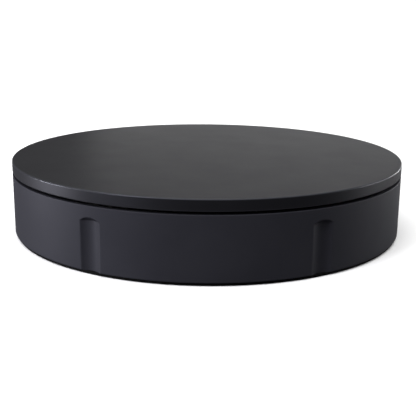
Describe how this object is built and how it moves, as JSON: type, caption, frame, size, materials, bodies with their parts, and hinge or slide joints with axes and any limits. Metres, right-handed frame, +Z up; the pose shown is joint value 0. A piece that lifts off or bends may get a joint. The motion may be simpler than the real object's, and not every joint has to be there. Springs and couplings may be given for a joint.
{
  "type": "motorised turntable",
  "caption": "Low round motorised turntable: a satin black platter turns on a fluted round housing, with power, data and a rocker switch in a recess at the back.",
  "frame": {"origin": "centre of the foot ring's underside, on the platter's axis", "axes": "+Z up along the platter's axis, +Y towards the connector recess at the back, +X to the right seen from the front"},
  "size_m": [0.2, 0.2, 0.0377],
  "materials": {
    "anodised_black": "black anodised aluminium, bead blasted to a fine satin",
    "black_rubber": "matt solid rubber",
    "black_steel_sheet": "black powder coat",
    "zinc_steel": "bright zinc plate",
    "moulded_black": "glass filled nylon, moulded",
    "black_nylon": "moulded",
    "nickel_pin": "nickel plate",
    "nickel_shell": "drawn steel shell, nickel plate",
    "gloss_black": "polished mould finish",
    "brass_tab": "tinned brass",
    "board_green": "green solder mask",
    "chip_black": "moulded epoxy",
    "bare_aluminium": "bare extrusion",
    "capacitor_sleeve": "shrink sleeve",
    "chip_brown": "fired ceramic and ferrite",
    "natural_nylon": "natural nylon",
    "grey_cable": "ribbon insulation",
    "red_lead": "wire insulation",
    "motor_black": "black oxide",
    "die_cast": "die cast, tumbled",
    "bearing_steel": "ground",
    "laminated_steel": "stacked sheet edges",
    "copper_winding": "enamelled copper wire",
    "ground_steel": "ground",
    "brass_gear": "machined brass",
    "sintered_bronze": "oil filled sintered bronze",
    "ball_steel": "polished",
    "acetal_white": "moulded acetal"
  },
  "bodies": {
    "base": {"housing": "anodised_black", "foot_ring": "black_rubber", "bottom_plate": "black_steel_sheet", "case_screws": "zinc_steel", "chassis": "moulded_black", "connector_panel": "black_steel_sheet", "dc_socket": "black_nylon", "dc_socket_pin": "nickel_pin", "usb_socket": "nickel_shell", "usb_tongue": "black_nylon", "switch_body": "gloss_black", "switch_terminals": "brass_tab", "control_board": "board_green", "board_screws": "zinc_steel", "controller_chip": "chip_black", "motor_driver": "chip_black", "driver_heatsink": "bare_aluminium", "capacitors": "capacitor_sleeve", "board_parts": "chip_brown", "motor_header": "natural_nylon", "cable_plugs": "natural_nylon", "motor_cable": "grey_cable", "cable_clips": "natural_nylon", "switch_header": "natural_nylon", "switch_leads": "red_lead", "motor_can": "motor_black", "motor_plate": "die_cast", "motor_cap": "die_cast", "motor_bearings": "bearing_steel", "motor_stator": "laminated_steel", "motor_coils": "copper_winding", "motor_connector": "natural_nylon", "motor_screws": "zinc_steel", "lower_race": "bearing_steel", "hub_bearing_outer": "bearing_steel", "bush": "sintered_bronze"},
    "turntable": {"platter": "anodised_black", "upper_race": "bearing_steel", "spindle": "ground_steel", "spindle_screws": "zinc_steel", "hub_bearing_inner": "bearing_steel", "drive_wheel": "acetal_white", "wheel_washer": "zinc_steel", "wheel_screw": "zinc_steel"},
    "motor_armature": {"motor_rotor": "laminated_steel", "motor_shaft": "ground_steel", "pinion": "brass_gear"},
    "ring_bearing_cage": {"ball_ring_cage": "natural_nylon", "ball_ring_balls": "ball_steel"},
    "hub_cage": {"hub_bearing_cage": "brass_gear", "hub_bearing_balls": "ball_steel"},
    "switch_rocker": {"rocker": "gloss_black"}
  },
  "joints": [
    {"name": "platter_spin", "type": "hinge", "parent": "base", "child": "turntable", "pos_m": [0, 0, 0], "axis": [0, 0, 1], "continuous": true},
    {"name": "pinion_spin", "type": "hinge", "parent": "base", "child": "motor_armature", "pos_m": [0, -0.054, 0], "axis": [0, 0, 1], "continuous": true},
    {"name": "ring_cage_spin", "type": "hinge", "parent": "base", "child": "ring_bearing_cage", "pos_m": [0, 0, 0], "axis": [0, 0, 1], "continuous": true},
    {"name": "hub_cage_spin", "type": "hinge", "parent": "base", "child": "hub_cage", "pos_m": [0, 0, 0], "axis": [0, 0, 1], "continuous": true},
    {"name": "rocker_tilt", "type": "hinge", "parent": "base", "child": "switch_rocker", "pos_m": [0.014, 0.0927, 0.016], "axis": [0, 0, 1], "range_deg": [0, 20]}
  ],
  "couplings": [
    {"joint": "pinion_spin", "follows": "platter_spin", "ratio": -5},
    {"joint": "ring_cage_spin", "follows": "platter_spin", "ratio": 0.5},
    {"joint": "hub_cage_spin", "follows": "platter_spin", "ratio": 0.41667}
  ]
}
